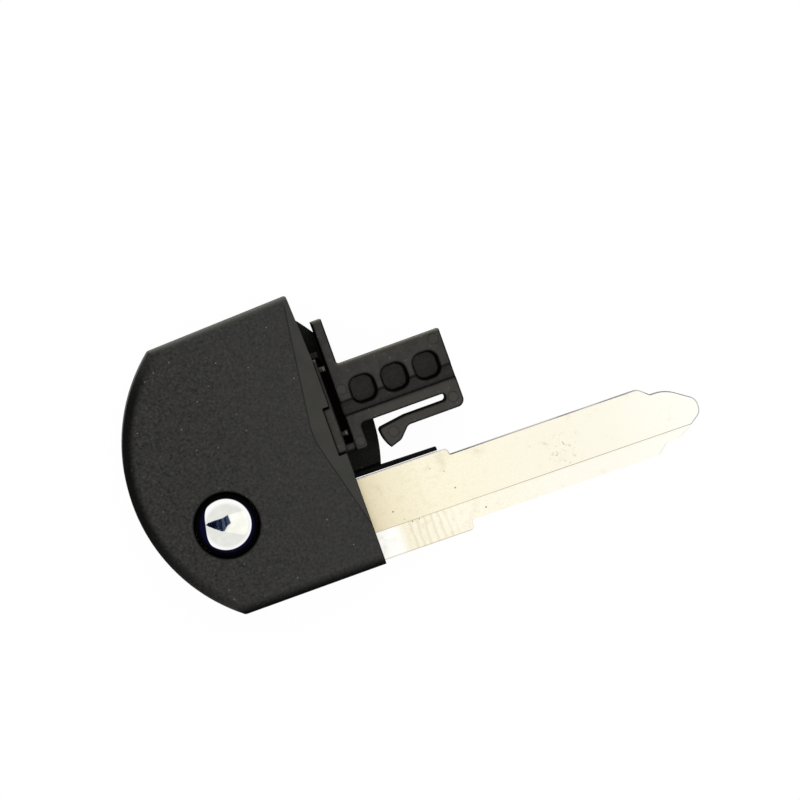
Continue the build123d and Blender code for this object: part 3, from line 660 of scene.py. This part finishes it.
def flatStage(name, corners, material):
    # a flat sheet of the studio, from its corners in metres
    mesh = bpy.data.meshes.new(name)
    mesh.from_pydata(corners, [], [tuple(range(len(corners)))])
    mesh.materials.append(material)
    sheet = bpy.data.objects.new(name, mesh)
    scene.collection.objects.link(sheet)
    return sheet


def emptyMaterial(name):
    material = bpy.data.materials.new(name)
    material.use_nodes = True
    material.node_tree.nodes.clear()
    return material, Wire(material.node_tree)


def makeFloor():
    # a pale floor that is white to the camera and to mirrors, and keeps the shadow of the head
    half = studio["floorSize"] / 2
    drop = -studio["floorDrop"] * mm
    material, start = emptyMaterial("floorPaper")
    paper = start.node("ShaderNodeBsdfDiffuse", {}, {"Color": studio["floorColour"]})
    glow = start.node("ShaderNodeEmission", {}, {"Color": (1, 1, 1, 1), "Strength": studio["floorWhite"]})
    share = seenBy(start, "Is Camera Ray", "Is Glossy Ray", "Is Transmission Ray") * studio["floorGlow"]
    both = start.node("ShaderNodeMixShader", {}, {0: share, 1: paper, 2: glow})
    start.node("ShaderNodeOutputMaterial", {}, {"Surface": both})
    flatStage("floor", [(-half, -half, drop), (half, -half, drop), (half, half, drop), (-half, half, drop)],
              material)


cards = {
    "height": 100.0, "faceZ": 13.9, "layerGap": 0.1,
    "shapes": (
        (rgba(10, 14, 40), ((-2.5, 0.05), (-2.22, 0.3), (-1.52, 0.57), (-1.3, 0.64), (-1.15, -0.5),
                            (-1.41, -0.43), (-2.22, -0.1))),
        (rgba(40, 54, 76), ((-1.3, 0.64), (-1.02, 0.72), (-0.9, -0.58), (-1.15, -0.5))),
        (rgba(22, 30, 58), ((-1.02, 0.72), (-0.66, 0.84), (-0.45, -0.66), (-0.59, -0.69), (-0.9, -0.58))),
        (rgba(70, 88, 108), ((-0.66, 0.84), (-0.42, 0.94), (-0.12, -0.3), (-0.3, -0.63), (-0.45, -0.66))),
        (rgba(26, 34, 60), ((-0.42, 0.94), (-0.22, 1.08), (0.05, 0.0), (-0.12, -0.3))),
        (rgba(58, 76, 104), ((-0.22, 1.08), (0.05, 1.27), (0.22, 0.83), (0.43, 0.3), (0.05, 0.0))),
        ((1.2, 1.2, 1.15, 1), ((0.15, 1.22), (1.9, 1.75), (2.25, 1.25), (2.5, 0.3), (2.35, -0.8), (1.9, -1.1),
                               (-0.15, -0.72), (0.5, 0.3))),
    ),
}


def crownSlope(radius):
    # sine of the button's slope at a radius, as its material has it
    return max(radius / buttonLook["crownRadius"],
               (radius - buttonLook["rimStart"]) / buttonLook["rimRadius"])


def hideFromRest(sheet):
    # only mirrors see the sheet
    sheet.visible_camera = False
    sheet.visible_diffuse = False
    sheet.visible_shadow = False
    sheet.visible_transmission = False


def buttonCards():
    # cards over the button: a point of its face at a slope s mirrors the card height * tan(2 s) further out
    eye = Vector(camera["aim"]) + cameraBack() * camera["distance"]
    sight = (eye - Vector((0, 0, cards["faceZ"]))).normalized()
    for number, (colour, shape) in enumerate(cards["shapes"]):
        height = cards["height"] + cards["faceZ"] - cards["layerGap"] * number
        corners = []
        for across, over in shape:
            point = imageRight * across + imageUp * over
            reach = math.tan(2 * math.asin(crownSlope(point.length)))
            place = point + cards["height"] * (point.normalized() * reach - Vector((sight.x, sight.y, 0)))
            corners.append((place.x * mm, place.y * mm, height * mm))
        name = "card" + str(number)
        material, start = emptyMaterial(name)
        glow = start.node("ShaderNodeEmission", {}, {"Color": colour, "Strength": 1.0})
        start.node("ShaderNodeOutputMaterial", {}, {"Surface": glow})
        hideFromRest(flatStage(name, corners, material))


def makeLight():
    # a soft bright zenith over a dim horizon, white to the camera and to mirrors, and a softbox at the back
    world = bpy.data.worlds.new("studio")
    scene.world = world
    world.use_nodes = True
    world.node_tree.nodes.clear()
    start = Wire(world.node_tree)
    direction = start.node("ShaderNodeTexCoord", {}, {}, "Generated")
    cap = parts(direction)[2].rise(*studio["cap"])
    lit = studio["horizon"] + cap * (studio["zenith"] - studio["horizon"])
    seen = seenBy(start, "Is Camera Ray", "Is Glossy Ray", "Is Transmission Ray")
    level = lit * (1 - seen) + seen
    glow = start.node("ShaderNodeBackground", {}, {"Color": (1, 1, 1, 1), "Strength": level})
    start.node("ShaderNodeOutputWorld", {}, {"Surface": glow})
    lamp = bpy.data.lights.new("backSoftbox", "AREA")
    lamp.shape = "RECTANGLE"
    lamp.size, lamp.size_y = studio["backSize"]
    lamp.energy = studio["backLight"]
    holder = bpy.data.objects.new("backSoftbox", lamp)
    middle = Vector(studio["backAim"])
    holder.location = middle + (imageUp + Vector((0, 0, 1))) * studio["backReach"]
    holder.rotation_euler = (middle - holder.location).to_track_quat("-Z", "Y").to_euler()
    holder.visible_glossy = False
    scene.collection.objects.link(holder)


makeCamera()
makeFloor()
makeLight()
buttonCards()
scene.view_settings.view_transform = "Standard"
print("camera, floor and light made")

bpy.context.view_layer.update()
